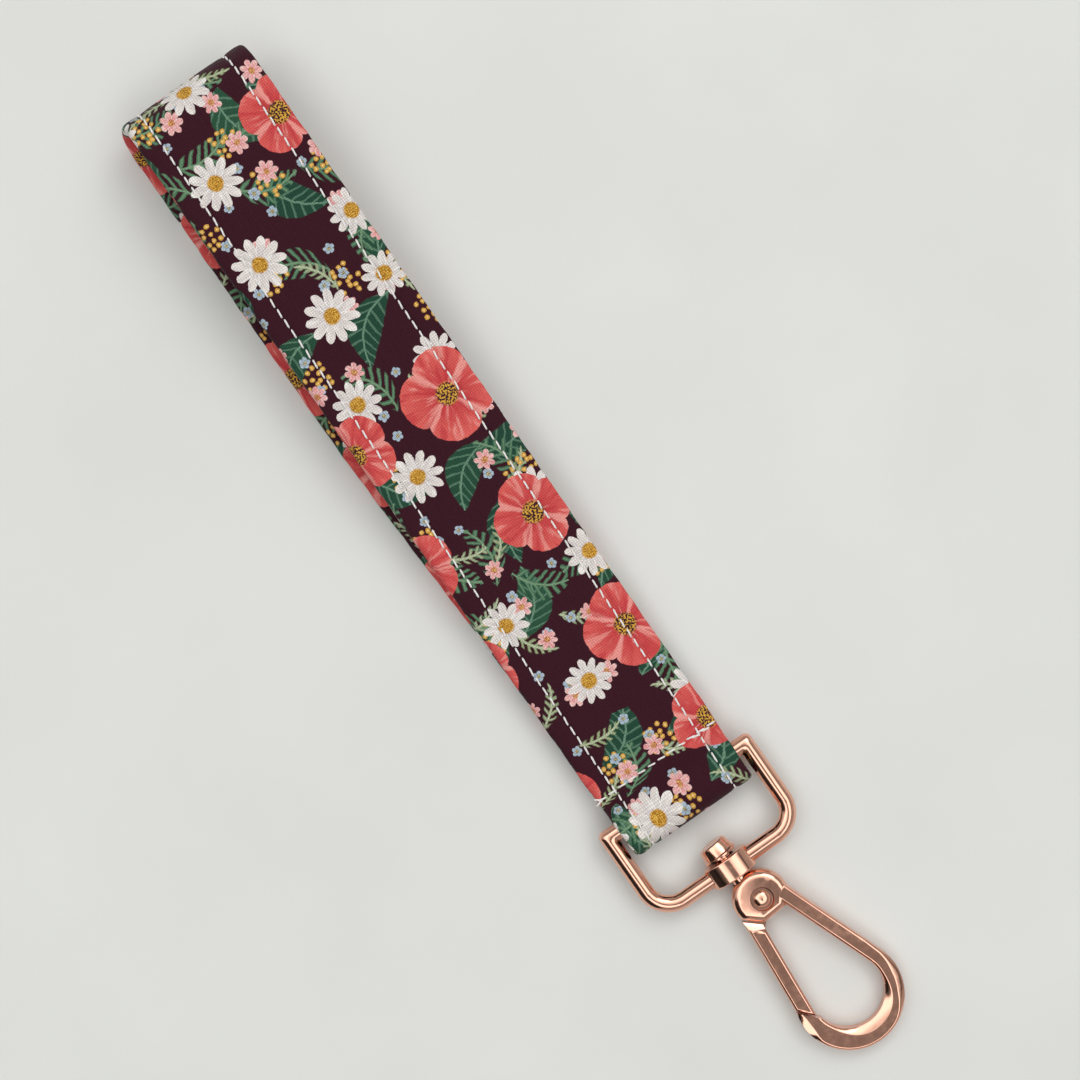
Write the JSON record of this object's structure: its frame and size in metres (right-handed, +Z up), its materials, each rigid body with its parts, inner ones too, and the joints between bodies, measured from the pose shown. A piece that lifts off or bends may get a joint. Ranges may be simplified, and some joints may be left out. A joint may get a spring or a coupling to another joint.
{
  "type": "wristlet keychain",
  "caption": "Wrist strap keychain: a flat sewn fabric loop on a D-shaped ring with a swivelling snap hook and a sprung push gate.",
  "frame": {"origin": "under the middle of the object's outline, on the surface it lies on", "axes": "+Y along the strap from the hook towards the wrist loop's far end, +X across the strap to the side where its folded edges meet, +Z up from the surface"},
  "size_m": [0.032, 0.2056, 0.0164],
  "materials": {
    "printed_cotton": "plain weave quilting cotton, printed, matt",
    "interfacing": "non-woven interfacing, matt",
    "thread": "twisted polyester sewing thread, slight sheen",
    "rose_gold": "polished rose gold plating over zinc alloy",
    "spring_wire": "drawn spring wire"
  },
  "bodies": {
    "strap": {"strap_cover": "printed_cotton", "strap_core": "interfacing", "topstitch_left_outer": "thread", "topstitch_left_inner": "thread", "topstitch_right_outer": "thread", "topstitch_right_inner": "thread", "cross_stitch_front": "thread", "cross_stitch_back": "thread", "end_seam_outer": "thread", "end_seam_inner": "thread"},
    "ring": {"ring_frame": "rose_gold"},
    "hook": {"swivel_post": "rose_gold", "hook_body": "rose_gold", "gate_pin": "rose_gold", "gate_spring": "spring_wire"},
    "gate": {"gate": "rose_gold"}
  },
  "joints": [
    {"name": "ring_tilt", "type": "hinge", "parent": "strap", "child": "ring", "pos_m": [0, -0.04649, 0.0042], "axis": [-1, 0, 0], "range_deg": [-135, 150]},
    {"name": "hook_swivel", "type": "hinge", "parent": "ring", "child": "hook", "pos_m": [0, -0.06287, 0.00349], "axis": [0.0872, -0.9953, -0.043], "continuous": true},
    {"name": "gate_open", "type": "hinge", "parent": "hook", "child": "gate", "pos_m": [0.00135, -0.07028, 0.00317], "axis": [0, -0.0431, 0.9991], "range_deg": [0, 32], "stiffness_Nm_per_rad": 0.012, "springref_deg": -20.05, "deforming": ["gate_spring"]}
  ]
}
